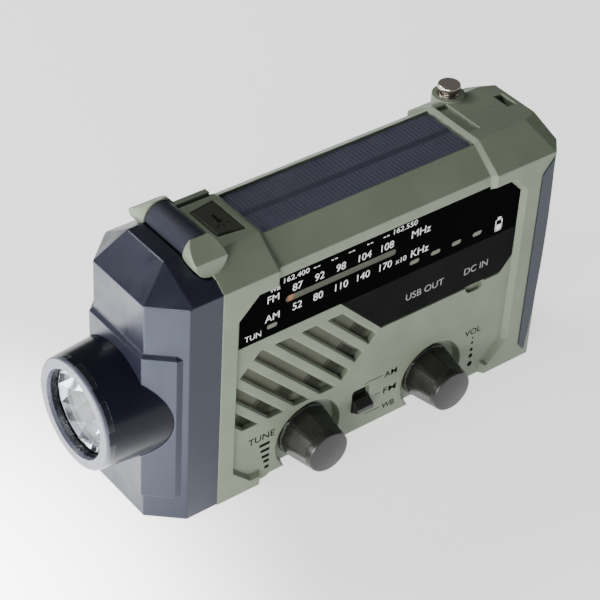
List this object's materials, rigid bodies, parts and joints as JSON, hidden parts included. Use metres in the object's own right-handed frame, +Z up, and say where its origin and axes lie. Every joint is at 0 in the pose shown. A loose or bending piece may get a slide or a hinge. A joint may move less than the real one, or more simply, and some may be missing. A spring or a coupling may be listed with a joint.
{
  "type": "emergency radio",
  "caption": "Rugged hand-crank radio with a torch at one end, a dial behind a long window, two knobs, a band switch, a solar strip and a telescopic aerial.",
  "frame": {"origin": "middle of the overall footprint, at the base the radio stands on", "axes": "+X towards the plain end with the aerial, away from the torch; -Y out of the front with the dial and knobs; +Z up"},
  "size_m": [0.1709, 0.0629, 0.0973],
  "materials": {
    "case_green": "fine matte moulding texture",
    "trim_grey": "satin slate moulding",
    "black_gloss": "polished black",
    "torch_black": "semi-gloss black coat",
    "knob_black": "satin black-olive",
    "flap_rubber": "soft matte rubber",
    "clear": "clear moulded plastic",
    "bright_metal": "bright plated",
    "steel": "bright zinc plate",
    "aerial_steel": "polished plated steel",
    "gear_nylon": "natural nylon",
    "inner_plastic": "plain black moulding",
    "pointer_orange": "bright moulding",
    "board_green": "solder resist",
    "led_board": "white-coated aluminium board",
    "pipe_clear": "frosted clear moulding",
    "cloth": "open-weave acoustic cloth",
    "speaker_steel": "stamped steel frame with its magnet",
    "cone_paper": "pressed paper",
    "cell_wrap": "shrink-wrapped cell",
    "ferrite": "dark fired ferrite",
    "brass_bush": "sintered bronze",
    "solar_blue": "dark silicon cells"
  },
  "bodies": {
    "root": {"front_shell": "case_green", "rear_shell": "case_green", "right_end_trim": "trim_grey", "left_end_cap": "trim_grey", "strap_bar": "trim_grey", "torch_barrel": "torch_black", "torch_bezel": "bright_metal", "torch_lens": "clear", "torch_reflector": "bright_metal", "torch_led": "led_board", "dial_panel": "black_gloss", "dial_window": "clear", "pointer_rail": "steel", "light_pipes": "pipe_clear", "indicator_leds": "led_board", "usb_socket": "steel", "dc_socket": "inner_plastic", "tuning_capacitor": "inner_plastic", "volume_control": "inner_plastic", "band_switch": "inner_plastic", "button_switch": "board_green", "grille_cloth": "cloth", "speaker_frame": "speaker_steel", "speaker_cone": "cone_paper", "main_board": "board_green", "board_chips": "inner_plastic", "idler_pin": "steel", "generator": "steel", "gearbox_plate": "steel", "crank_bush": "brass_bush", "battery_cell": "cell_wrap", "battery_holder": "inner_plastic", "aerial_base": "aerial_steel", "aerial_clips": "inner_plastic", "ferrite_rod": "ferrite", "solar_cells": "solar_blue", "solar_cover": "clear", "case_screws": "steel", "board_screws": "steel", "gearbox_screws": "steel", "cap_screws": "steel"},
    "tune": {"tune_knob": "knob_black", "tuning_shaft": "steel"},
    "pointer": {"tuning_pointer": "pointer_orange"},
    "volume": {"volume_knob": "knob_black", "volume_shaft": "steel"},
    "band_selector": {"band_slider": "knob_black"},
    "torch_switch": {"torch_button": "knob_black"},
    "flap": {"port_flap": "flap_rubber"},
    "crank": {"crank_arm": "trim_grey", "crank_shaft": "steel", "drive_gear": "gear_nylon", "crank_pin": "steel"},
    "handle": {"crank_knob": "knob_black"},
    "idler": {"idler_gear": "gear_nylon"},
    "rotor": {"generator_pinion": "gear_nylon"},
    "aerial_1": {"aerial_tube_1": "aerial_steel"},
    "aerial_2": {"aerial_tube_2": "aerial_steel"},
    "aerial_3": {"aerial_tube_3": "aerial_steel", "aerial_tip": "aerial_steel"}
  },
  "joints": [
    {"name": "tune_spin", "type": "hinge", "parent": "root", "child": "tune", "pos_m": [-0.0108, -0.025, 0.01], "axis": [0, -1, 0], "range_deg": [0, 300]},
    {"name": "pointer_slide", "type": "slide", "parent": "root", "child": "pointer", "axis": [1, 0, 0], "range_m": [0, 0.0385]},
    {"name": "volume_spin", "type": "hinge", "parent": "root", "child": "volume", "pos_m": [0.04, -0.025, 0.01], "axis": [0, -1, 0], "range_deg": [0, 300]},
    {"name": "band_slide", "type": "slide", "parent": "root", "child": "band_selector", "axis": [0, 0, 1], "range_m": [0, 0.0034]},
    {"name": "torch_press", "type": "slide", "parent": "root", "child": "torch_switch", "axis": [0, 0, -1], "range_m": [0, 0.0012], "stiffness_N_per_m": 600, "springref_m": -0.0004},
    {"name": "flap_hinge", "type": "hinge", "parent": "root", "child": "flap", "pos_m": [0.034, -0.02, 0.0576], "axis": [-1, 0, 0], "range_deg": [0, 110]},
    {"name": "crank_spin", "type": "hinge", "parent": "root", "child": "crank", "pos_m": [0.023, 0.016, 0.046], "axis": [0, 1, 0], "continuous": true},
    {"name": "handle_spin", "type": "hinge", "parent": "crank", "child": "handle", "pos_m": [0.049, 0.025, 0.046], "axis": [0, 1, 0], "continuous": true},
    {"name": "idler_spin", "type": "hinge", "parent": "root", "child": "idler", "pos_m": [-0.005, 0.009, 0.046], "axis": [0, 1, 0], "continuous": true},
    {"name": "rotor_spin", "type": "hinge", "parent": "root", "child": "rotor", "pos_m": [0.007, 0.006, 0.06678], "axis": [0, 1, 0], "continuous": true},
    {"name": "aerial_slide_1", "type": "slide", "parent": "root", "child": "aerial_1", "axis": [0, 0, 1], "range_m": [0, 0.075]},
    {"name": "aerial_slide_2", "type": "slide", "parent": "aerial_1", "child": "aerial_2", "axis": [0, 0, 1], "range_m": [0, 0.075]},
    {"name": "aerial_slide_3", "type": "slide", "parent": "aerial_2", "child": "aerial_3", "axis": [0, 0, 1], "range_m": [0, 0.075]}
  ],
  "couplings": [
    {"joint": "pointer_slide", "follows": "tune_spin", "m_per_rad": 0.0072575},
    {"joint": "idler_spin", "follows": "crank_spin", "ratio": -4},
    {"joint": "rotor_spin", "follows": "crank_spin", "ratio": 16}
  ]
}
